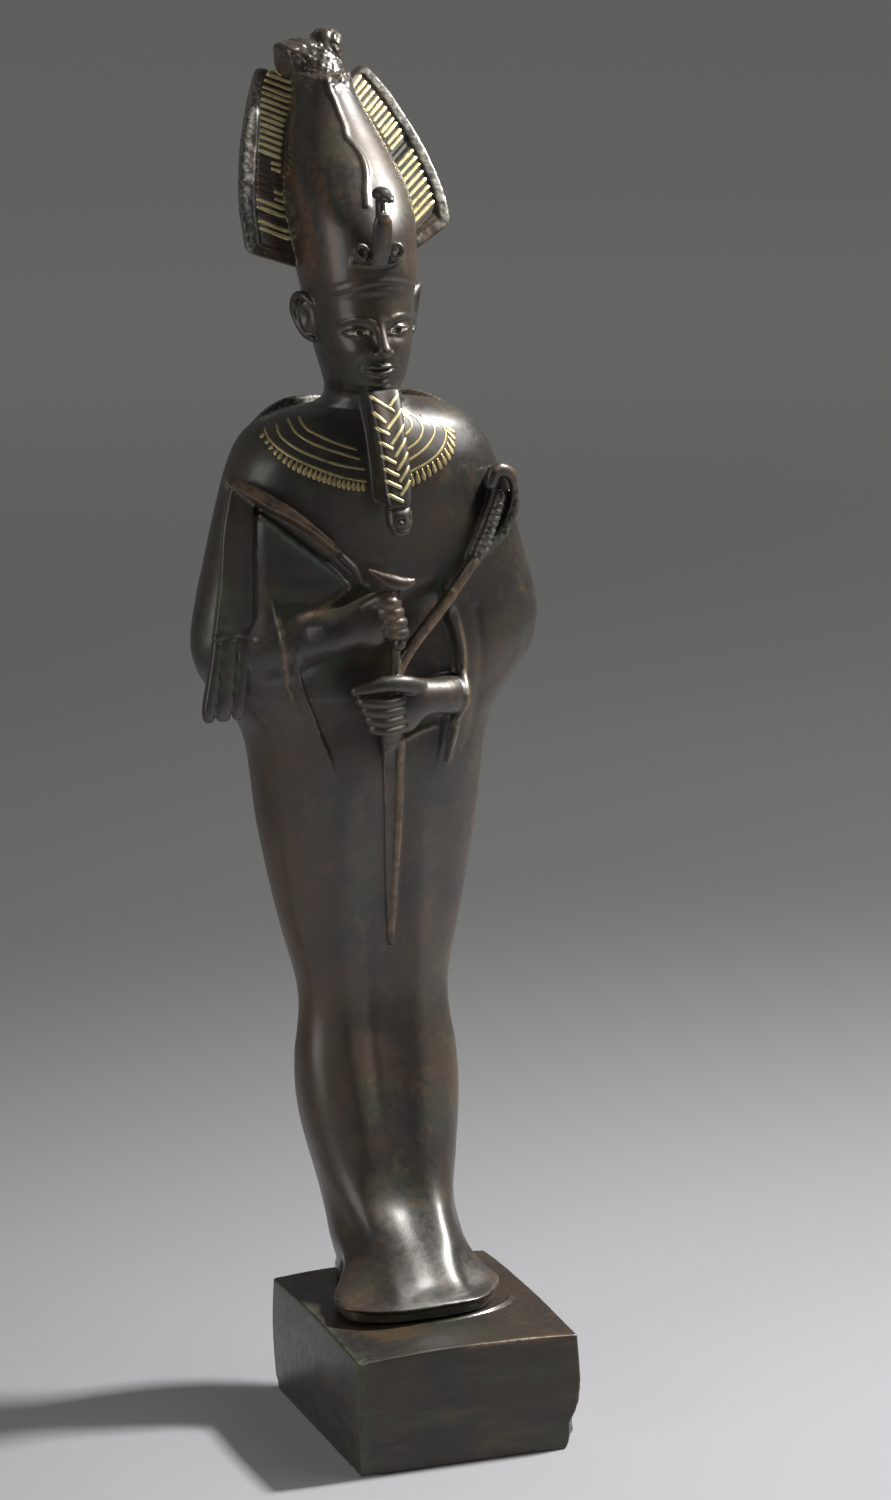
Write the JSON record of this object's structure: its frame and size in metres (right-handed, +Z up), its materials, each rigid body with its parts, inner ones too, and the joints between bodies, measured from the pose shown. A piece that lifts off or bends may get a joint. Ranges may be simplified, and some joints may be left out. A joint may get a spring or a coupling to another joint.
{
  "type": "osiris statuette",
  "caption": "Cast bronze statuette of a mummiform Osiris in a tall feathered crown, holding crook, flail and staff, on a low block.",
  "frame": {"origin": "centre of the block's underside, on the surface it stands on", "axes": "+Z up towards the crown, -Y out of the figure's front, +X to the viewer's right"},
  "size_m": [0.08, 0.0889, 0.2998],
  "materials": {
    "figure_bronze": "dark brown patina, polished by handling",
    "block_bronze": "dark brown and green patina, worn"
  },
  "bodies": {
    "root": {"figure": "figure_bronze", "plinth": "block_bronze"}
  },
  "joints": []
}
